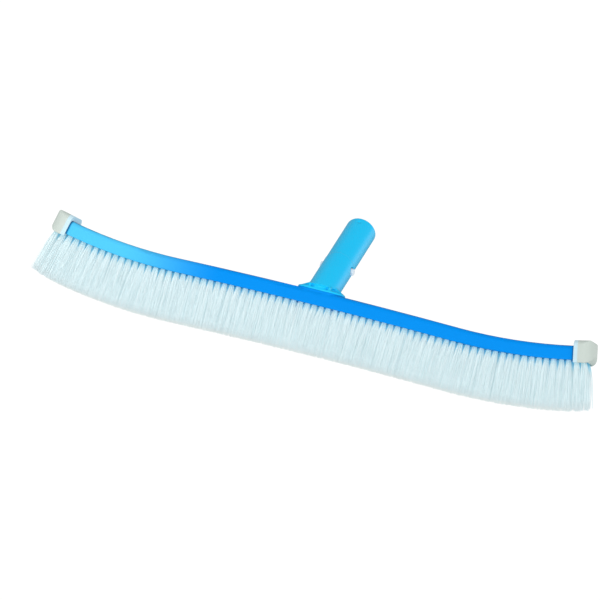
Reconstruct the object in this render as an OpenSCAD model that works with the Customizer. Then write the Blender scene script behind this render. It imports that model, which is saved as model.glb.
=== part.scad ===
// Curved pool wall brush: a moulded back set with tufts of bristle, a pole handle
// on its middle and a soft bumper on each end.
// +X runs along the brush, +Z up from the bristle tips, the handle leans towards +Y.

/* [Back] */
// Length of the back along its curve
back_len = 511; // [470:1:520]
// Width of the back across the rows
back_w = 28; // [27.6:0.1:32]
// Thickness of the back
back_t = 13; // [12.4:0.1:15]
// Radius of the slight crown along the middle
crown_r = 5720; // [4000:10:9000]
// Distance from the middle at which each end starts to curl up
curl_start = 132; // [115:1:145]
// Radius of the curl at each end
curl_r = 500; // [450:5:700]

/* [Bristles] */
// Spacing of the tufts along a row
tuft_pitch = 6.6; // [6.5:0.05:6.7]
// Spacing of the rows across the back
row_pitch = 6.5; // [6.4:0.05:6.6]
// Bristle length below the back
bristle_len = 43.4; // [36:0.1:50]
// Radius of a tuft at its folded root
tuft_root_r = 1.6; // [1.4:0.05:1.65]
// Radius of a tuft at its tip
tuft_tip_r = 3.05; // [2.4:0.05:3.1]

/* [Handle] */
// Outer radius of the spigot that enters the pole
spigot_r = 14; // [13.6:0.05:14.4]
// Wall thickness of the spigot
spigot_wall = 2.6; // [2.4:0.1:2.7]
// Distance from the back to the open end, along the spigot
handle_len = 99.2; // [94:0.1:104]
// Lean of the handle from upright, towards the back edge
handle_lean = 46.4; // [42:0.2:48]
// Distance of the lock buttons from the open end
button_from_end = 61; // [57:0.5:62]

/* [Bumpers] */
// Length of the back that each bumper covers
bumper_grip = 13; // [11:0.5:14]
// Thickness of a bumper's end wall
bumper_nose = 4.5; // [4:0.1:6]
// Height of a bumper above the back
bumper_rise = 4.8; // [3:0.1:5.5]
// Depth of a bumper's skirts below the back
bumper_drop = 2.4; // [2:0.1:3]
// Thickness of a bumper's side walls
bumper_wall = 1.8; // [1.4:0.1:2.4]

/* [Hidden] */

deg = 180 / PI;
eps = 0.01;

// The back's underside runs along two arcs a side, joined tangent to tangent.
slope_1 = -curl_start / crown_r * deg;
x_1 = crown_r * sin(-slope_1);
z_1 = -crown_r * (1 - cos(slope_1));
function slope(s) = abs(s) <= curl_start ? -s / crown_r * deg
    : sign(s) * (slope_1 + (abs(s) - curl_start) / curl_r * deg);
function under_x(s) = abs(s) <= curl_start ? crown_r * sin(-slope(s))
    : sign(s) * (x_1 + curl_r * (sin(slope(abs(s))) - sin(slope_1)));
function under_z(s) = abs(s) <= curl_start ? -crown_r * (1 - cos(slope(s)))
    : z_1 + curl_r * (cos(slope_1) - cos(slope(abs(s))));

splice_len = 2;
splice_step = 0.05;
end_round = 9;
end_overcut = 2;

// Tufts: alternate rows are staggered by half a pitch.
row_y = [for (r = [0:3]) (r - 1.5) * row_pitch];
end_margin = 4.4;
half_count = floor((back_len / 2 - end_margin) / tuft_pitch);
screw_x = 2.5 * tuft_pitch;
screw_keepout = 4.7;
function clear_of_screws(s, r) =
    (r == 0 || r == 3) || abs(abs(s) - screw_x) > screw_keepout;
function row_stations(r) = r % 2 == 0
    ? [for (i = [-half_count:half_count]) if (clear_of_screws(i * tuft_pitch, r)) i * tuft_pitch]
    : [for (i = [-half_count:half_count - 1])
        if (clear_of_screws((i + 0.5) * tuft_pitch, r)) (i + 0.5) * tuft_pitch];
hole_r = 1.9;
hole_depth = 9;
anchor_h = 1.7;
anchor_t = 0.45;
anchor_w = 3.7;
tuft_depth = hole_depth - anchor_h - 0.2;

// Handle
pad_rise = 0.4;
foot_len = 44;
foot_w = 25.4;
foot_t = 2.2;
axis_y = 2;
neck_z = 5;
neck_floor = 2.4;
collar_r = spigot_r + 0.25;
bore_r = spigot_r - spigot_wall;
mouth_chamfer = 0.6;
button_t = handle_len - button_from_end;
collar_top = button_t + 5;
core_inset = 2;
gate_r = 1.7;
gate_depth = 0.8;
gate_from_end = 6;
button_hole_r = 4.1;
rib_t = 2;
rib_x = 9.3;
gusset_t = 3;
peg_r = 3.5;
peg_len = 8;
peg_clearance = 0.05;
pilot_r = 1.3;

// Screws
screw_core_r = 1.25;
screw_head_r = 3;
screw_head_h = 1.8;
screw_web = 3;
screw_passage_r = 1.9;
head_recess_r = 3.4;
screw_bite = 7;
recess_slot_w = 0.9;
recess_slot_l = 3.4;
recess_depth = 1;

// Spring clip: a U of spring strip whose bend faces the open end
strip_t = 0.9;
strip_w = 7;
bend_r = 6.6;
bend_t = handle_len - 11.7;
arm_spread = 2.95;
arm_tilt = atan(arm_spread / (bend_t - button_t));
arm_over = 7.5;
arm_len = (bend_t - button_t) / cos(arm_tilt) + arm_over;
arm_gap = 0.12;
button_x = bend_r + arm_spread;
rivet_r = 1.5;
rivet_hole_r = 1.6;
rivet_head_r = 2.5;
rivet_head_t = 0.7;
button_collar_r = 3.3;
button_collar_end = spigot_r - 0.4;
button_r = 3.1;
button_end = spigot_r + 1.6;
button_tip = spigot_r + 2.1;
button_tip_r = 2.4;

// The object's frame: middle of the footprint, at the level of the lowest bristle tips
y_low = -(back_w / 2 + bumper_wall);
y_high = axis_y + handle_len * sin(handle_lean) + (spigot_r - mouth_chamfer) * cos(handle_lean);
y_mouth = axis_y + (handle_len - mouth_chamfer) * sin(handle_lean) + spigot_r * cos(handle_lean);
shift_y = -(y_low + max(y_high, y_mouth)) / 2;
tip_z = [for (i = [-half_count:half_count]) let (s = i * tuft_pitch)
    under_z(s) - bristle_len * cos(slope(s)) - tuft_tip_r * abs(sin(slope(s)))];
tip_z_staggered = [for (i = [-half_count:half_count - 1]) let (s = (i + 0.5) * tuft_pitch)
    under_z(s) - bristle_len * cos(slope(s)) - tuft_tip_r * abs(sin(slope(s)))];
shift_z = -min(min(tip_z), min(tip_z_staggered));

module in_frame() {
    translate([0, shift_y, shift_z]) children();
}

// Local frame on the underside at distance s along the curve
module at_station(s) {
    translate([under_x(s), 0, under_z(s)]) rotate([0, -slope(s), 0]) children();
}

// Local frame of the handle: its foot's seat, and along the spigot
module at_seat() {
    translate([0, 0, back_t + pad_rise]) children();
}
module along_spigot() {
    at_seat() translate([0, axis_y, 0]) rotate([-handle_lean, 0, 0]) children();
}

// Cross-section of the back, underside on the Y axis at x = 0, top at x = back_t
module back_section(grow = 0) {
    w = back_w / 2 + grow;
    top_r = 4;
    foot_r = 1.2;
    translate([-grow, -w + foot_r]) square([back_t + 2 * grow - top_r, 2 * (w - foot_r)]);
    translate([foot_r - grow, -w]) square([back_t - foot_r - top_r + 2 * grow, 2 * w]);
    translate([foot_r - grow, -w + top_r]) square([back_t - foot_r + 2 * grow, 2 * (w - top_r)]);
    for (side = [-1, 1]) {
        translate([back_t + grow - top_r, side * (w - top_r)]) circle(r = top_r, $fn = 64);
        translate([foot_r - grow, side * (w - foot_r)]) circle(r = foot_r, $fn = 48);
    }
}

module crown_arc() {
    sweep = -2 * slope_1;
    translate([0, 0, -crown_r]) rotate([90, 0, 0])
        rotate([0, 0, 90 - sweep / 2])
            rotate_extrude(angle = sweep, $fn = 2400) translate([crown_r, 0]) back_section();
}

// Each curled end starts inside the crowned middle and is a hair slimmer, so that the two fuse cleanly.
module curl_arc() {
    lap = splice_len / curl_r * deg;
    sweep = (back_len / 2 - curl_start) / curl_r * deg + lap;
    translate([x_1 - curl_r * sin(slope_1), 0, z_1 + curl_r * cos(slope_1)]) rotate([90, 0, 0])
        rotate([0, 0, -90 + slope_1 - lap]) rotate_extrude(angle = sweep, $fn = 720)
            translate([curl_r, 0]) mirror([1, 0]) back_section(-splice_step);
}

// Rounds the two corners of one end of the back, seen from above
module end_corners() {
    at_station(back_len / 2) for (k = [-1, 1])
        translate([-end_round, k * (back_w / 2 - end_round), -end_overcut])
            linear_extrude(back_t + 2 * end_overcut) difference() {
                translate([0, k < 0 ? -end_round - end_overcut : 0])
                    square([end_round + end_overcut, end_round + end_overcut]);
                circle(r = end_round, $fn = 128);
            }
}

module foot_outline(len, w) {
    square([len - w, w], center = true);
    for (side = [-1, 1]) translate([side * (len - w) / 2, 0]) circle(d = w, $fn = 96);
}

module tuft_holes(r) {
    for (s = row_stations(r))
        at_station(s) translate([0, row_y[r], -1]) cylinder(h = hole_depth + 1, r = hole_r, $fn = 32);
}

module brush_back() {
    color([0.05, 0.58, 0.95]) in_frame() difference() {
        union() {
            crown_arc();
            curl_arc();
            mirror([1, 0, 0]) curl_arc();
            translate([0, 0, back_t - 3]) linear_extrude(3 + pad_rise)
                foot_outline(foot_len + 1, foot_w + 0.8);
        }
        end_corners();
        mirror([1, 0, 0]) end_corners();
        for (r = [0:3]) tuft_holes(r);
        for (side = [-1, 1]) translate([side * screw_x, 0, 0]) {
            translate([0, 0, -1]) cylinder(h = back_t + 3, r = screw_passage_r, $fn = 48);
            translate([0, 0, -1])
                cylinder(h = 1 + back_t + pad_rise - peg_len - 0.2 - screw_web, r = head_recess_r, $fn = 64);
            translate([0, 0, back_t + pad_rise - peg_len - 0.2])
                cylinder(h = peg_len + 1, r = peg_r + peg_clearance, $fn = 64);
        }
    }
}

// Handle: foot plate, ribs and a leaning hollow spigot
module spigot_outside() {
    intersection() {
        along_spigot() union() {
            translate([0, 0, -30]) cylinder(h = 30 + collar_top, r = collar_r, $fn = 128);
            cylinder(h = handle_len - mouth_chamfer, r = spigot_r, $fn = 128);
            translate([0, 0, handle_len - mouth_chamfer])
                cylinder(h = mouth_chamfer, r1 = spigot_r, r2 = spigot_r - mouth_chamfer, $fn = 128);
        }
        at_seat() translate([-60, -60, neck_z]) cube([120, 200, 200]);
    }
}

// Recessed core of the neck, behind the ribs
module neck_core() {
    intersection() {
        along_spigot() translate([0, 0, -30]) cylinder(h = 60, r = collar_r - core_inset, $fn = 128);
        at_seat() translate([0, 0, foot_t - 0.5])
            linear_extrude(neck_z - foot_t + 1) foot_outline(foot_len, foot_w - 2);
    }
}

module spigot_inside() {
    intersection() {
        along_spigot() translate([0, 0, -30]) cylinder(h = 31 + handle_len, r = bore_r, $fn = 128);
        at_seat() translate([-60, -60, neck_z + neck_floor]) cube([120, 200, 200]);
    }
}

module long_rib(x) {
    y_front = axis_y + neck_z * tan(handle_lean) - collar_r / cos(handle_lean) + 2.2;
    y_rear = axis_y + neck_z * tan(handle_lean) + collar_r / cos(handle_lean) - 3.5;
    translate([x + rib_t / 2, 0, 0]) rotate([0, -90, 0]) linear_extrude(rib_t)
        polygon([[foot_t - 0.5, -foot_w / 2 + 1.2], [foot_t - 0.5, foot_w / 2 - 1.2],
                 [neck_z + 0.6, y_rear], [neck_z + 0.6, y_front]]);
}

module side_gusset() {
    translate([0, gusset_t / 2, 0]) rotate([90, 0, 0]) linear_extrude(gusset_t)
        polygon([[-foot_len / 2 + 1.2, foot_t - 0.4], [-foot_len / 2 + 1.6, foot_t + 0.3],
                 [-11.5, 7.2], [-9, neck_z + 1], [9, neck_z + 1], [11.5, 7.2],
                 [foot_len / 2 - 1.6, foot_t + 0.3], [foot_len / 2 - 1.2, foot_t - 0.4]]);
}

module handle() {
    color([0.17, 0.72, 0.95]) in_frame() difference() {
        union() {
            spigot_outside();
            neck_core();
            at_seat() {
                linear_extrude(foot_t - 0.6) foot_outline(foot_len, foot_w);
                linear_extrude(foot_t) foot_outline(foot_len - 1.2, foot_w - 1.2);
                for (x = [-rib_x, 0, rib_x]) long_rib(x);
                side_gusset();
                for (side = [-1, 1]) translate([side * screw_x, 0, -peg_len])
                    cylinder(h = peg_len + 1, r = peg_r, $fn = 64);
            }
        }
        spigot_inside();
        along_spigot() translate([-30, 0, button_t]) rotate([0, 90, 0])
            cylinder(h = 60, r = button_hole_r, $fn = 64);
        along_spigot() translate([0, -spigot_r - 1, handle_len - gate_from_end]) rotate([-90, 0, 0])
            cylinder(h = 1 + gate_depth, r = gate_r, $fn = 48);
        for (side = [-1, 1]) at_seat() translate([side * screw_x, 0, -peg_len - 1])
            cylinder(h = screw_bite + 1.6, r = pilot_r, $fn = 48);
    }
}

// Screws, driven up through the back into the handle's pegs
module handle_screw(side) {
    head_top = back_t + pad_rise - peg_len - 0.2 - screw_web;
    color([0.75, 0.76, 0.78]) in_frame() translate([side * screw_x, 0, 0]) difference() {
        union() {
            translate([0, 0, head_top - screw_head_h]) cylinder(h = screw_head_h, r = screw_head_r, $fn = 64);
            translate([0, 0, head_top - eps])
                cylinder(h = screw_web + 0.2 + screw_bite, r = screw_core_r, $fn = 48);
        }
        for (turn = [0, 90]) translate([0, 0, head_top - screw_head_h - eps]) rotate([0, 0, turn])
            translate([-recess_slot_l / 2, -recess_slot_w / 2, 0])
                cube([recess_slot_l, recess_slot_w, recess_depth + eps]);
    }
}
module handle_screw_left() { handle_screw(-1); }
module handle_screw_right() { handle_screw(1); }

// One row of tufts: each is a bundle that spreads from its folded root to its tips
module bristle_row(r) {
    color([0.9, 0.95, 0.96]) in_frame() for (s = row_stations(r))
        at_station(s) translate([0, row_y[r], -bristle_len])
            cylinder(h = tuft_depth + bristle_len, r1 = tuft_tip_r, r2 = tuft_root_r, $fn = 32);
}
module bristle_row_front() { bristle_row(0); }
module bristle_row_front_inner() { bristle_row(1); }
module bristle_row_back_inner() { bristle_row(2); }
module bristle_row_back() { bristle_row(3); }

// One row of flat metal anchors that hold the folded tufts at the bottom of their holes
module anchor_row(r) {
    color([0.8, 0.72, 0.45]) in_frame() for (s = row_stations(r))
        at_station(s) translate([-anchor_t / 2, row_y[r] - anchor_w / 2, hole_depth - anchor_h])
            cube([anchor_t, anchor_w, anchor_h - 0.05]);
}
module anchor_row_front() { anchor_row(0); }
module anchor_row_front_inner() { anchor_row(1); }
module anchor_row_back_inner() { anchor_row(2); }
module anchor_row_back() { anchor_row(3); }

// A strip seen from above whose far end has rounded corners
module end_outline(len, half_w, r) {
    translate([0, -half_w]) square([len - r, 2 * half_w]);
    translate([0, -half_w + r]) square([len, 2 * (half_w - r)]);
    for (k = [-1, 1]) translate([len - r, k * (half_w - r)]) circle(r = r, $fn = 128);
}

// Soft bumper: a cap with an open, lipped underside that the tufts pass through
module end_bumper(side) {
    middle = back_len / 2 - bumper_grip / 2;
    half_grip = bumper_grip / 2;
    total = bumper_grip + bumper_nose;
    half_w = back_w / 2 + bumper_wall;
    height = bumper_drop + back_t + bumper_rise;
    nose_r = 12;
    crest_r = 4.2;
    keel_r = 8;
    shoulder_r = 5.5;
    hem_r = 1;
    lip = 1.6;
    slack = 0.12;
    color([0.82, 0.84, 0.8]) in_frame() mirror([side < 0 ? 1 : 0, 0, 0]) at_station(middle)
        translate([-half_grip, 0, 0]) difference() {
            intersection() {
                translate([0, 0, -bumper_drop]) linear_extrude(height) end_outline(total, half_w, nose_r);
                translate([0, half_w, 0]) rotate([90, 0, 0]) linear_extrude(2 * half_w)
                    translate([0, -bumper_drop]) {
                        square([total - keel_r, height]);
                        translate([0, keel_r]) square([total, height - crest_r - keel_r]);
                        translate([0, keel_r]) square([total - crest_r, height - keel_r]);
                        translate([total - crest_r, height - crest_r]) circle(r = crest_r, $fn = 96);
                        translate([total - keel_r, keel_r]) circle(r = keel_r, $fn = 96);
                    }
                rotate([90, 0, 90]) linear_extrude(total) translate([0, -bumper_drop]) {
                    translate([-half_w, hem_r]) square([2 * half_w, height - shoulder_r - hem_r]);
                    translate([-half_w + hem_r, 0]) square([2 * (half_w - hem_r), hem_r + 1]);
                    translate([-half_w + shoulder_r, hem_r]) square([2 * (half_w - shoulder_r), height - hem_r]);
                    for (k = [-1, 1]) {
                        translate([k * (half_w - shoulder_r), height - shoulder_r])
                            circle(r = shoulder_r, $fn = 96);
                        translate([k * (half_w - hem_r), hem_r]) circle(r = hem_r, $fn = 48);
                    }
                }
            }
            intersection() {
                translate([-1, 0, 0]) rotate([90, 0, 90]) linear_extrude(bumper_grip + 1.2)
                    rotate([0, 0, 90]) back_section(slack);
                translate([-1, 0, -5]) linear_extrude(back_t + 10)
                    end_outline(bumper_grip + 1.2, back_w / 2 + slack, end_round);
            }
            translate([-1, -(half_w - bumper_wall - lip), -bumper_drop - 1])
                cube([bumper_grip, 2 * (half_w - bumper_wall - lip), bumper_drop + 2]);
        }
}
module end_bumper_left() { end_bumper(-1); }
module end_bumper_right() { end_bumper(1); }

// Spring clip inside the spigot
module clip_bend() {
    color([0.78, 0.79, 0.8]) in_frame() along_spigot() translate([0, 0, bend_t])
        rotate([90, 0, 0]) translate([0, 0, -strip_w / 2]) linear_extrude(strip_w) difference() {
            circle(r = bend_r + strip_t / 2, $fn = 96);
            circle(r = bend_r - strip_t / 2, $fn = 96);
            translate([-20, -40]) square([40, 40]);
        }
}

module clip_arm(side) {
    color([0.78, 0.79, 0.8]) in_frame() along_spigot() mirror([side < 0 ? 1 : 0, 0, 0])
        translate([bend_r, 0, bend_t]) rotate([0, -arm_tilt, 0]) difference() {
            translate([-strip_t / 2, -strip_w / 2, -arm_len]) cube([strip_t, strip_w, arm_len - arm_gap]);
            translate([0, 0, -arm_len + arm_over]) rotate([0, 90 + arm_tilt, 0])
                translate([0, 0, -2]) cylinder(h = 4, r = rivet_hole_r, $fn = 48);
        }
}
module clip_arm_left() { clip_arm(-1); }
module clip_arm_right() { clip_arm(1); }

// Lock button: its axis is square to the spigot, its waist is riveted through the arm
module lock_button(side) {
    head_at = -strip_t / 2 - 0.1 - rivet_head_r * sin(arm_tilt);
    collar_at = strip_t / 2 + 0.1 + button_collar_r * sin(arm_tilt);
    color([0.86, 0.9, 0.93]) in_frame() along_spigot() mirror([side < 0 ? 1 : 0, 0, 0])
        translate([button_x, 0, button_t]) rotate([0, 90, 0]) {
            translate([0, 0, head_at - rivet_head_t]) cylinder(h = rivet_head_t, r = rivet_head_r, $fn = 64);
            translate([0, 0, head_at - eps]) cylinder(h = collar_at - head_at + 2 * eps, r = rivet_r, $fn = 48);
            translate([0, 0, collar_at])
                cylinder(h = button_collar_end - button_x - collar_at, r = button_collar_r, $fn = 64);
            translate([0, 0, button_collar_end - button_x - eps])
                cylinder(h = button_end - button_collar_end + eps, r = button_r, $fn = 64);
            translate([0, 0, button_end - button_x])
                cylinder(h = button_tip - button_end, r1 = button_r, r2 = button_tip_r, $fn = 64);
        }
}
module button_left() { lock_button(-1); }
module button_right() { lock_button(1); }

brush_back();
handle();
handle_screw_left();
handle_screw_right();
bristle_row_front();
bristle_row_front_inner();
bristle_row_back_inner();
bristle_row_back();
anchor_row_front();
anchor_row_front_inner();
anchor_row_back_inner();
anchor_row_back();
end_bumper_left();
end_bumper_right();
clip_bend();
clip_arm_left();
clip_arm_right();
button_left();
button_right();
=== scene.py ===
import bpy
import math
import numpy as np
from mathutils import Matrix, Vector


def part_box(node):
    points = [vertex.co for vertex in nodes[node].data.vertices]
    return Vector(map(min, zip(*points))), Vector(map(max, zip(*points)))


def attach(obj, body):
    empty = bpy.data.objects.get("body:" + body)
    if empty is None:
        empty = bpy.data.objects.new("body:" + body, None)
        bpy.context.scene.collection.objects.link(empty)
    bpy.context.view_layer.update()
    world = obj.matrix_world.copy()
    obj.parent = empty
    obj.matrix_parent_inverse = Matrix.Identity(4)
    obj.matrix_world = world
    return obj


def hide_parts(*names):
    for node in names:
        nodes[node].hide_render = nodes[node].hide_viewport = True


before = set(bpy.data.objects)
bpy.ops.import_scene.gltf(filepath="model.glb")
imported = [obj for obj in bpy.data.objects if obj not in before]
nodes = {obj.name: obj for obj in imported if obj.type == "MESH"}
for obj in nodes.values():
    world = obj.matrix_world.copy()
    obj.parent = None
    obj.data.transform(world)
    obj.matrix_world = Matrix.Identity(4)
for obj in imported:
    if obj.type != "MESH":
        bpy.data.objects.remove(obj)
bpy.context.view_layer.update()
scene = bpy.context.scene


# ---- The view: a long lens a little below the back and to the right, rolled so that the
# brush runs down to the right, as it is held up to show its bristle side.
back_lo, back_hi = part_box("brush_back")
back_mid_y = (back_lo.y + back_hi.y) / 2
curl_radius = 0.500
crown_radius = 5.720
curl_start = 0.132
end_slope = -curl_start / crown_radius
curl_start_x = crown_radius * math.sin(-end_slope)
curl_start_z = -crown_radius * (1 - math.cos(end_slope))
dip = curl_start_z - curl_radius * (1 - math.cos(end_slope))
under_mid = Vector((0.0, back_mid_y, back_lo.z - dip))

view_turn = math.radians(16.09)
view_rise = math.radians(-4.0)
view_roll = math.radians(15.12)
view_distance = 5.5
lens_mm = 370.38
sensor_mm = 36.0
aim_right = 0.0156812
aim_up = -0.0059695

back_dir = Vector((math.sin(view_turn) * math.cos(view_rise),
                   -math.cos(view_turn) * math.cos(view_rise),
                   math.sin(view_rise)))
level_right = Vector((math.cos(view_turn), math.sin(view_turn), 0.0))
level_up = back_dir.cross(level_right)
cam_right = level_right * math.cos(view_roll) + level_up * math.sin(view_roll)
cam_up = level_up * math.cos(view_roll) - level_right * math.sin(view_roll)

cam_data = bpy.data.cameras.new("camera")
cam_data.sensor_width = sensor_mm
cam_data.lens = lens_mm
cam_data.clip_start = 0.1
cam_data.clip_end = 60.0
camera = bpy.data.objects.new("camera", cam_data)
scene.collection.objects.link(camera)
turn = Matrix((cam_right, cam_up, back_dir)).transposed()
place = under_mid + back_dir * view_distance - cam_right * aim_right - cam_up * aim_up
camera.matrix_world = Matrix.Translation(place) @ turn.to_4x4()
scene.camera = camera


# ---- The room: a pale floor far below the brush and a white surround. Large soft lights stand
# to the right, low in front and behind on the right, and a small one fills the left end.
scene.view_settings.view_transform = "Standard"
floor_mesh = bpy.data.meshes.new("floor")
floor_half = 9.0
floor_z = -1.6
floor_corners = [(x * floor_half, y * floor_half, floor_z) for x, y in ((-1, -1), (1, -1), (1, 1), (-1, 1))]
floor_mesh.from_pydata(floor_corners, [], [(0, 1, 2, 3)])
floor = bpy.data.objects.new("floor", floor_mesh)
scene.collection.objects.link(floor)
floor_mat = bpy.data.materials.new("floor_pale")
floor_mat.use_nodes = True
floor_bsdf = floor_mat.node_tree.nodes["Principled BSDF"]
floor_bsdf.inputs["Base Color"].default_value = (0.92, 0.92, 0.92, 1)
floor_bsdf.inputs["Roughness"].default_value = 0.9
floor_mesh.materials.append(floor_mat)

world = bpy.data.worlds.new("surround")
scene.world = world
world.use_nodes = True
sky = world.node_tree.nodes
sky_links = world.node_tree.links
sky.clear()
seen = sky.new("ShaderNodeBackground")
seen.inputs["Color"].default_value = (1, 1, 1, 1)
seen.inputs["Strength"].default_value = 1.05
ambient = sky.new("ShaderNodeBackground")
ambient.inputs["Color"].default_value = (0.97, 0.985, 1, 1)
ambient.inputs["Strength"].default_value = 0.62
ray = sky.new("ShaderNodeLightPath")
pick = sky.new("ShaderNodeMixShader")
out = sky.new("ShaderNodeOutputWorld")
sky_links.new(ray.outputs["Is Camera Ray"], pick.inputs["Fac"])
sky_links.new(ambient.outputs["Background"], pick.inputs[1])
sky_links.new(seen.outputs["Background"], pick.inputs[2])
sky_links.new(pick.outputs["Shader"], out.inputs["Surface"])


def softbox(name, turn_deg, rise_deg, distance, width, height, watts, aim_x=0.0, spread_deg=180):
    """A rectangular area light on a sphere round a point of the brush, facing that point."""
    a, e = math.radians(turn_deg), math.radians(rise_deg)
    away = Vector((math.sin(a) * math.cos(e), -math.cos(a) * math.cos(e), math.sin(e)))
    data = bpy.data.lights.new(name, "AREA")
    data.shape = "RECTANGLE"
    data.size = width
    data.size_y = height
    data.energy = watts
    data.spread = math.radians(spread_deg)
    light = bpy.data.objects.new(name, data)
    light.location = under_mid + Vector((aim_x, 0, 0)) + away * distance
    light.rotation_mode = "QUATERNION"
    light.rotation_quaternion = away.to_track_quat("Z", "Y")
    scene.collection.objects.link(light)


softbox("key_right", turn_deg=66, rise_deg=8, distance=3.2, width=1.3, height=2.2, watts=21)
softbox("front_low", turn_deg=0, rise_deg=-14, distance=3.6, width=1.6, height=1.6, watts=44)
softbox("rim_right", turn_deg=139, rise_deg=19, distance=1.9, width=0.6, height=1.0, watts=5)
softbox("left_near", turn_deg=-28, rise_deg=2, distance=0.75, width=0.22, height=0.30, watts=0.10,
        aim_x=-0.25, spread_deg=50)


# ---- The back: one long moulding in deep blue ABS, crowned along its middle and curled up
# at both ends, with blind holes for the tufts. Its fine moulded grain and slow drift of colour
# are a node group that the other mouldings scale for themselves.
def group_node(tree, group, **values):
    """Places a node group in a material tree and sets its named inputs."""
    node = tree.nodes.new("ShaderNodeGroup")
    node.node_tree = group
    for name, value in values.items():
        node.inputs[name.replace("_", " ")].default_value = value
    return node


def new_group(name, inputs, outputs):
    """An empty shader group with float or colour sockets, and its two end nodes."""
    group = bpy.data.node_groups.new(name, "ShaderNodeTree")
    for label, kind, value in inputs:
        socket = group.interface.new_socket(label, in_out="INPUT", socket_type=kind)
        socket.default_value = value
    for label, kind in outputs:
        group.interface.new_socket(label, in_out="OUTPUT", socket_type=kind)
    return group, group.nodes.new("NodeGroupInput"), group.nodes.new("NodeGroupOutput")


def math_node(tree, kind, a, b):
    """One Math node; a and b are sockets or numbers."""
    node = tree.nodes.new("ShaderNodeMath")
    node.operation = kind
    for slot, value in enumerate((a, b)):
        if isinstance(value, (int, float)):
            node.inputs[slot].default_value = value
        else:
            tree.links.new(value, node.inputs[slot])
    return node.outputs["Value"]


def noise_node(tree, coords, scale, detail=3.0, rough=0.55):
    """Noise on object coordinates; scale is a number or a socket."""
    node = tree.nodes.new("ShaderNodeTexNoise")
    node.inputs["Detail"].default_value = detail
    node.inputs["Roughness"].default_value = rough
    tree.links.new(coords, node.inputs["Vector"])
    if isinstance(scale, (int, float)):
        node.inputs["Scale"].default_value = scale
    else:
        tree.links.new(scale, node.inputs["Scale"])
    return node.outputs["Fac"]


def colour_mix(tree, factor, a, b):
    """One colour Mix node; factor is a socket, a and b are RGBA colours or sockets."""
    node = tree.nodes.new("ShaderNodeMix")
    node.data_type = "RGBA"
    tree.links.new(factor, node.inputs["Factor"])
    for slot, value in ((mix_a, a), (mix_b, b)):
        if isinstance(value, tuple):
            node.inputs[slot].default_value = value
        else:
            tree.links.new(value, node.inputs[slot])
    return node.outputs[mix_result]


mix_a, mix_b, mix_result = 6, 7, 2
streak_stretch = (60, 420, 420)
streak_floor = 0.62
streak_gain = 6.0
scuff_roughness = 0.5
grain_height = 0.6
grain_relief = 0.00012
moulded, g_in, g_out = new_group(
    "moulded_surface",
    [("Grain Scale", "NodeSocketFloat", 900.0), ("Drift Scale", "NodeSocketFloat", 14.0),
     ("Tint A", "NodeSocketColor", (0.5, 0.5, 0.5, 1)), ("Tint B", "NodeSocketColor", (0.5, 0.5, 0.5, 1)),
     ("Scuff Colour", "NodeSocketColor", (0.8, 0.8, 0.8, 1)), ("Scuffs", "NodeSocketFloat", 0.2),
     ("Rough Low", "NodeSocketFloat", 0.3), ("Rough High", "NodeSocketFloat", 0.42)],
    [("Colour", "NodeSocketColor"), ("Roughness", "NodeSocketFloat"), ("Height", "NodeSocketFloat")])
coords = moulded.nodes.new("ShaderNodeTexCoord").outputs["Object"]
drift = noise_node(moulded, coords, g_in.outputs["Drift Scale"], 2.0)
grain = noise_node(moulded, coords, g_in.outputs["Grain Scale"], 2.0)
flow = moulded.nodes.new("ShaderNodeMapping")
flow.inputs["Scale"].default_value = streak_stretch
moulded.links.new(coords, flow.inputs["Vector"])
streak = noise_node(moulded, flow.outputs["Vector"], 1.0, 4.0, 0.7)
tint = colour_mix(moulded, drift, g_in.outputs["Tint A"], g_in.outputs["Tint B"])
scuff_mask = math_node(moulded, "SUBTRACT", streak, streak_floor)
scuff_mask = math_node(moulded, "MULTIPLY", scuff_mask, streak_gain)
clamp = moulded.nodes.new("ShaderNodeClamp")
moulded.links.new(scuff_mask, clamp.inputs["Value"])
scuff_mask = math_node(moulded, "MULTIPLY", clamp.outputs["Result"], g_in.outputs["Scuffs"])
worn = colour_mix(moulded, scuff_mask, tint, g_in.outputs["Scuff Colour"])
moulded.links.new(worn, g_out.inputs["Colour"])
spread = moulded.nodes.new("ShaderNodeMapRange")
moulded.links.new(drift, spread.inputs["Value"])
moulded.links.new(g_in.outputs["Rough Low"], spread.inputs["To Min"])
moulded.links.new(g_in.outputs["Rough High"], spread.inputs["To Max"])
scuff_rough = math_node(moulded, "MULTIPLY", scuff_mask, scuff_roughness)
rough_sum = math_node(moulded, "ADD", spread.outputs["Result"], scuff_rough)
moulded.links.new(rough_sum, g_out.inputs["Roughness"])
height = math_node(moulded, "ADD", math_node(moulded, "MULTIPLY", grain, grain_height), scuff_mask)
moulded.links.new(height, g_out.inputs["Height"])


def moulded_material(name, tint_a, tint_b, scuff, grain_scale, scuffs, rough, bump, shine=0.5):
    """A moulded plastic or rubber: the moulded_surface group feeding one Principled BSDF."""
    mat = bpy.data.materials.new(name)
    mat.use_nodes = True
    tree = mat.node_tree
    bsdf = tree.nodes["Principled BSDF"]
    surface = group_node(tree, moulded, Tint_A=(*tint_a, 1), Tint_B=(*tint_b, 1), Scuff_Colour=(*scuff, 1),
                         Grain_Scale=grain_scale, Scuffs=scuffs, Rough_Low=rough[0], Rough_High=rough[1])
    relief = tree.nodes.new("ShaderNodeBump")
    relief.inputs["Strength"].default_value = bump
    relief.inputs["Distance"].default_value = grain_relief
    tree.links.new(surface.outputs["Colour"], bsdf.inputs["Base Color"])
    tree.links.new(surface.outputs["Roughness"], bsdf.inputs["Roughness"])
    tree.links.new(surface.outputs["Height"], relief.inputs["Height"])
    tree.links.new(relief.outputs["Normal"], bsdf.inputs["Normal"])
    bsdf.inputs["Specular IOR Level"].default_value = shine
    return mat


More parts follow.
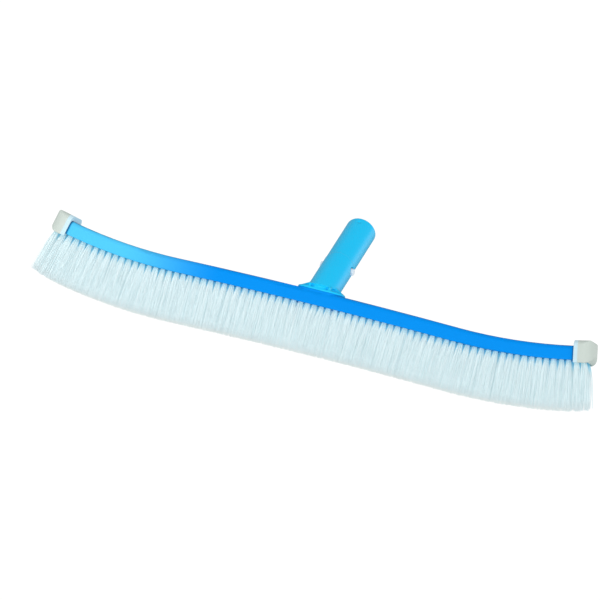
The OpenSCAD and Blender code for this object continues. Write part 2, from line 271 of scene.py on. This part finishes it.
def mix_colour(mat, factor, colour):
    """Puts one more colour mix between a material's base colour and whatever feeds it."""
    tree = mat.node_tree
    base = tree.nodes["Principled BSDF"].inputs["Base Color"]
    mixed = colour_mix(tree, factor, base.links[0].from_socket, (*colour, 1))
    tree.links.new(mixed, base)


def blend_in(mat, colour, direction, start, end, both_ends=True):
    """Mixes another colour into a material along a direction: none where position . direction = start,
    all of it where that is end, with a smooth step between. For both ends it takes |position|."""
    tree = mat.node_tree
    position = tree.nodes.new("ShaderNodeTexCoord").outputs["Object"]
    if both_ends:
        folded = tree.nodes.new("ShaderNodeVectorMath")
        folded.operation = "ABSOLUTE"
        tree.links.new(position, folded.inputs[0])
        position = folded.outputs["Vector"]
    along = tree.nodes.new("ShaderNodeVectorMath")
    along.operation = "DOT_PRODUCT"
    along.inputs[1].default_value = direction
    tree.links.new(position, along.inputs[0])
    step = tree.nodes.new("ShaderNodeMapRange")
    step.interpolation_type = "SMOOTHSTEP"
    step.inputs["From Min"].default_value = start
    step.inputs["From Max"].default_value = end
    tree.links.new(along.outputs["Value"], step.inputs["Value"])
    mix_colour(mat, step.outputs["Result"], colour)


def paint_edge_shade(mat, colour, start, end, most):
    """Mixes a darker colour in where the surface turns away from the eye, by the Layer Weight facing:
    painted shade on the edges.
    """
    tree = mat.node_tree
    weight = tree.nodes.new("ShaderNodeLayerWeight")
    weight.inputs["Blend"].default_value = 0.5
    step = tree.nodes.new("ShaderNodeMapRange")
    step.inputs["From Min"].default_value = start
    step.inputs["From Max"].default_value = end
    step.inputs["To Max"].default_value = most
    tree.links.new(weight.outputs["Facing"], step.inputs["Value"])
    mix_colour(mat, step.outputs["Result"], colour)


def dress(piece, mat):
    """Gives a piece or CAD node one material."""
    piece.data.materials.clear()
    piece.data.materials.append(mat)


def curve_slope(s):
    """Slope of the back's underside at arc length s: -s/crown to the curl, then (s - start)/curl more."""
    run = np.abs(s)
    middle = -run / crown_radius
    curled = end_slope + (run - curl_start) / curl_radius
    return np.sign(s) * np.where(run <= curl_start, middle, curled)


def curve_point(s):
    """Point of the underside at arc length s, from the two tangent arcs on each side."""
    run = np.abs(s)
    phi = curve_slope(run)
    x = np.where(run <= curl_start, crown_radius * np.sin(-phi),
                 curl_start_x + curl_radius * (np.sin(phi) - math.sin(end_slope)))
    z = np.where(run <= curl_start, -crown_radius * (1 - np.cos(phi)),
                 curl_start_z + curl_radius * (math.cos(end_slope) - np.cos(phi)))
    return np.sign(s) * x, z + under_mid.z


grip_mid = 0.249
mouth_at = 0.0065
mouth_slope = float(curve_slope(np.array(grip_mid)))
mouth_x, mouth_z = (float(v) for v in curve_point(np.array(grip_mid)))
mouth_dir = (math.cos(mouth_slope), 0.0, math.sin(mouth_slope))
mouth = mouth_x * mouth_dir[0] + mouth_z * mouth_dir[2] - mouth_at
back_plastic = moulded_material("back_blue_plastic", (0.0005, 0.265, 0.83), (0.001, 0.285, 0.87),
                                (0.01, 0.33, 0.90), 700.0, 0.1, (0.34, 0.44), 0.2, shine=0.03)
# Painted light: the back turns a paler cyan towards its left end, from 0.088 to 0.192 m left of the middle,
# standing in for light falling on that end.
blend_in(back_plastic, (0.078, 0.55, 0.90), (-1.0, 0.0, 0.0), 0.088, 0.192, both_ends=False)
# Painted shade: the back darkens towards a deep blue where its surface turns away from the eye.
paint_edge_shade(back_plastic, (0.01, 0.20, 0.38), 0.45, 0.95, 0.7)
# Painted shadow: the back darkens to a deep blue over the last 2.4 mm before each cap's mouth, where the
# cap's lip shades it.
blend_in(back_plastic, (0.004, 0.13, 0.32), mouth_dir, mouth - 0.0024, mouth - 0.0002)
dress(nodes["brush_back"], back_plastic)


# ---- The handle: a lighter blue ABS moulding with foot plate, ribs and hollow spigot in one.
# The spigot enters the pole, and two screws from below hold the foot to the back.
def softened(name, voxel, passes):
    """A copy of a CAD node remeshed on an even grid and relaxed, so its edges are soft as a moulding's."""
    piece = nodes[name].copy()
    piece.data = nodes[name].data.copy()
    piece.name = name + "_moulding"
    scene.collection.objects.link(piece)
    remesh = piece.modifiers.new("even_grid", "REMESH")
    remesh.mode = "VOXEL"
    remesh.voxel_size = voxel
    remesh.use_smooth_shade = True
    relax = piece.modifiers.new("relax", "SMOOTH")
    relax.factor = 0.5
    relax.iterations = passes
    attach(piece, "brush")
    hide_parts(name)
    return piece


handle_plastic = moulded_material("handle_blue_plastic", (0.004, 0.57, 0.98), (0.007, 0.62, 0.99),
                                  (0.08, 0.64, 0.98), 800.0, 0.1, (0.34, 0.44), 0.2, shine=0.2)
# Painted shade: the handle darkens towards a deep teal where its surface turns away from the eye.
paint_edge_shade(handle_plastic, (0.02, 0.30, 0.42), 0.45, 0.95, 0.6)
dress(softened("handle", 0.0006, 5), handle_plastic)


# ---- The bumpers: soft grey-white elastomer caps pulled over the ends of the back, their mouths gripping the moulding.
# A painted highlight, a paler band along each cap's mouth, stands in for the light that its lip catches.
bumper_rubber = moulded_material("bumper_elastomer", (0.555, 0.625, 0.575), (0.605, 0.67, 0.62),
                                 (0.54, 0.56, 0.49), 500.0, 0.25, (0.55, 0.7), 0.35, shine=0.3)
# Painted highlight: the cap is a pale blue-white within 3 mm of its mouth, fading out by 4.5 mm.
blend_in(bumper_rubber, (0.58, 0.78, 0.86), mouth_dir, mouth + 0.0045, mouth + 0.003)
for side in ("left", "right"):
    dress(softened("end_bumper_" + side, 0.0004, 4), bumper_rubber)


# ---- The clip and fixings: stainless strip and screws, buttons in natural acetal and brass
# anchor strips, all bought-in parts that the mouldings hold.
def metal_material(name, tint_a, tint_b, rough):
    """Brushed metal: the moulded_surface group with a metallic Principled BSDF."""
    mat = moulded_material(name, tint_a, tint_b, tint_b, 1500.0, 0.15, rough, 0.2)
    mat.node_tree.nodes["Principled BSDF"].inputs["Metallic"].default_value = 1.0
    return mat


stainless = metal_material("stainless", (0.6, 0.61, 0.62), (0.68, 0.69, 0.7), (0.22, 0.34))
brass = metal_material("anchor_brass", (0.62, 0.48, 0.22), (0.7, 0.56, 0.28), (0.3, 0.42))
button_plastic = moulded_material("button_natural_acetal", (0.80, 0.87, 0.92), (0.86, 0.92, 0.95),
                                  (0.74, 0.80, 0.86), 900.0, 0.1, (0.3, 0.4), 0.2, shine=0.4)
for name in ("handle_screw_left", "handle_screw_right", "clip_bend", "clip_arm_left", "clip_arm_right"):
    dress(nodes[name], stainless)
for name in ("button_left", "button_right"):
    dress(nodes[name], button_plastic)
for name in nodes:
    if name.startswith("anchor_row"):
        dress(nodes[name], brass)


# ---- The bristles: bundles of white polypropylene filament, folded over an anchor, pressed
# into the back's holes and trimmed to one line. They spread from the root and meet at the tips.
tuft_pitch = 0.0066
row_pitch = 0.0065
half_count = 38
bristle_length = 0.0434
root_radius = 0.00150
full_radius = 0.0037
flare_depth = 0.0057
splay_start = 0.215
filament_radius = 0.00021
filament_tip_radius = 0.00014
root_depth = 0.003
screw_x = 2.5 * tuft_pitch
screw_keepout = 0.0047
rings = 6
sides = 3

lean_spread_x = 0.007
lean_spread_y = 0.010
length_spread = 0.00035
bow_spread_x = 0.0013
bow_spread_y = 0.0010
splay_run = 0.04
splay_lean = 0.045
splay_shift = 0.0026
splay_trim = 0.0035
rng = np.random.default_rng(20)


def row_stations(row):
    """Arc lengths of a row's tufts; odd rows are half a pitch over, and inner rows skip the screws."""
    if row % 2 == 0:
        s = np.arange(-half_count, half_count + 1) * tuft_pitch
    else:
        s = (np.arange(-half_count, half_count) + 0.5) * tuft_pitch
    if row in (1, 2):
        s = s[np.abs(np.abs(s) - screw_x) > screw_keepout]
    return s


def bristle_row(name, row, per_tuft, mat):
    """Filaments as three-sided tubes. A filament starts at a random point of the root disc and runs down
    the local normal; its distance from the tuft's axis grows as 1 - exp(-depth/flare), and a bow in a
    random direction grows in proportion to depth. Past splay_start, with p the run past it over splay_run,
    a tuft leans outwards by splay_lean p^2, moves outwards by up to splay_shift p^2 and is shorter by
    splay_trim p^4."""
    s = row_stations(row)
    tufts, count = len(s), per_tuft
    phi = curve_slope(s)[:, None, None]
    px, pz = (v[:, None, None] for v in curve_point(s))
    past = (np.clip(np.abs(s) - splay_start, 0, None) / splay_run)[:, None, None]
    outward = np.sign(s)[:, None, None] * past ** 2
    lean_x = rng.normal(0, lean_spread_x, (tufts, 1, 1)) + splay_lean * outward
    lean_y = rng.normal(0, lean_spread_y, (tufts, 1, 1))
    angle = rng.uniform(0, 2 * np.pi, (tufts, count, 1))
    reach = np.sqrt(rng.uniform(0, 1, (tufts, count, 1)))
    v = np.linspace(0, 1, rings)[None, None, :]
    length = bristle_length + rng.normal(0, length_spread, (tufts, count, 1)) - splay_trim * past ** 4
    depth = v * (length + root_depth) - root_depth
    t = np.clip(depth / bristle_length, 0, None)
    flare = 1 - np.exp(-np.clip(depth, 0, None) / flare_depth)
    radius = reach * (root_radius + (full_radius - root_radius) * flare)
    bow = rng.normal(0, bow_spread_x, (tufts, count, 1)) * t
    bow_y = rng.normal(0, bow_spread_y, (tufts, count, 1)) * t
    shift = splay_shift * outward * flare
    across = radius * np.cos(angle) + lean_x * depth * (t > 0) + bow + shift
    along_y = radius * np.sin(angle) + lean_y * depth * (t > 0) + bow_y
    fall = -depth
    cx = px + across * np.cos(phi) - fall * np.sin(phi)
    cz = pz + across * np.sin(phi) + fall * np.cos(phi)
    cy = under_mid.y + (row - 1.5) * row_pitch + along_y
    thick = filament_radius + (filament_tip_radius - filament_radius) * v ** 3
    twist = rng.uniform(0, 2 * np.pi, (tufts, count, 1))
    co = np.empty((tufts, count, rings, sides, 3), np.float32)
    for k in range(sides):
        around = twist + k * 2 * np.pi / sides
        u, w = thick * np.cos(around), thick * np.sin(around)
        co[..., k, 0] = cx + u * np.cos(phi)
        co[..., k, 1] = cy + w
        co[..., k, 2] = cz + u * np.sin(phi)
    total = tufts * count
    base = (np.arange(total) * rings * sides)[:, None, None]
    ring = (np.arange(rings - 1) * sides)[None, :, None]
    k = np.arange(sides)[None, None, :]
    k_next = (k + 1) % sides
    quads = np.stack([base + ring + k, base + ring + k_next,
                      base + ring + sides + k_next, base + ring + sides + k], -1)
    quads = quads.reshape(-1, 4)[:, ::-1]
    root_cap = (base[:, 0] + np.array([[0, 1, 2]]))
    tip_cap = (base[:, 0] + (rings - 1) * sides + np.array([[2, 1, 0]]))
    caps = np.concatenate([root_cap, tip_cap])
    mesh = bpy.data.meshes.new(name)
    mesh.vertices.add(total * rings * sides)
    mesh.vertices.foreach_set("co", co.ravel())
    loops = np.concatenate([quads.ravel(), caps.ravel()]).astype(np.int32)
    starts = np.concatenate([np.arange(len(quads)) * 4, len(quads) * 4 + np.arange(len(caps)) * 3])
    mesh.loops.add(len(loops))
    mesh.loops.foreach_set("vertex_index", loops)
    mesh.polygons.add(len(starts))
    mesh.polygons.foreach_set("loop_start", starts.astype(np.int32))
    mesh.polygons.foreach_set("use_smooth", np.ones(len(starts), bool))
    mesh.update(calc_edges=True)
    shade = mesh.attributes.new("shade", "FLOAT", "POINT")
    tone = np.broadcast_to(rng.uniform(0, 1, (tufts, count, 1, 1)), (tufts, count, rings, sides))
    shade.data.foreach_set("value", tone.astype(np.float32).ravel())
    drop = mesh.attributes.new("drop", "FLOAT", "POINT")
    drop.data.foreach_set("value", np.broadcast_to(t[..., None], (tufts, count, rings, sides))
                          .astype(np.float32).ravel())
    mesh.validate()
    piece = bpy.data.objects.new(name, mesh)
    scene.collection.objects.link(piece)
    dress(piece, mat)
    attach(piece, "brush")
    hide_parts(name.replace("filaments", "bristle"))


def filament_material(name, painted_root_colour, root_end):
    """White translucent filament: a tint per filament; painted bounce light and shade, the back's blue
    painted on it from the root down to root_end of its length; a soft gloss; a painted glow, the filament's
    own colour given off as light, standing in for the light that passes through and lifting its shade; and
    a duller cut end."""
    mat = bpy.data.materials.new(name)
    mat.use_nodes = True
    tree = mat.node_tree
    bsdf = tree.nodes["Principled BSDF"]
    shade = tree.nodes.new("ShaderNodeAttribute")
    shade.attribute_name = "shade"
    drop = tree.nodes.new("ShaderNodeAttribute")
    drop.attribute_name = "drop"

    def ramp(low, high):
        """0 to 1 as the drop goes from low to high, with a smooth start and end."""
        node = tree.nodes.new("ShaderNodeMapRange")
        node.interpolation_type = "SMOOTHSTEP"
        node.inputs["From Min"].default_value = low
        node.inputs["From Max"].default_value = high
        tree.links.new(drop.outputs["Fac"], node.inputs["Value"])
        return node.outputs["Result"]

    tone = colour_mix(tree, shade.outputs["Fac"], (0.645, 0.76, 0.785, 1), (0.70, 0.795, 0.812, 1))
    # Painted bounce light and shade: from the root down, the filament takes the given root colour, a blue
    # of the back.
    painted_root_light_and_shade = colour_mix(tree, ramp(0.0, root_end), painted_root_colour, tone)
    cut = colour_mix(tree, ramp(cut_start, 1.0), painted_root_light_and_shade, (0.70, 0.775, 0.765, 1))
    tree.links.new(cut, bsdf.inputs["Base Color"])
    # Painted glow: the filament gives off its own colour as light, though it is no lamp.
    tree.links.new(cut, bsdf.inputs["Emission Color"])
    bsdf.inputs["Emission Strength"].default_value = painted_filament_glow
    bsdf.inputs["Roughness"].default_value = filament_roughness
    return mat


cut_start = 0.965
# Strength of the filaments' painted glow.
painted_filament_glow = 0.28
filament_roughness = 0.42
# Painted bounce light and shade at the roots: the outer rows take a pale blue of the back over their first
# 16 %, the inner rows a deeper, darker blue over 28 %, standing in for the shade between the rows.
outer_filament = filament_material("outer_filament", (0.47, 0.76, 0.84, 1), 0.16)
inner_filament_painted_shade = filament_material("inner_filament_painted_shade", (0.17, 0.62, 0.80, 1), 0.28)
bristle_row("filaments_row_front", 0, 52, outer_filament)
bristle_row("filaments_row_front_inner", 1, 40, inner_filament_painted_shade)
bristle_row("filaments_row_back_inner", 2, 40, inner_filament_painted_shade)
bristle_row("filaments_row_back", 3, 52, outer_filament)
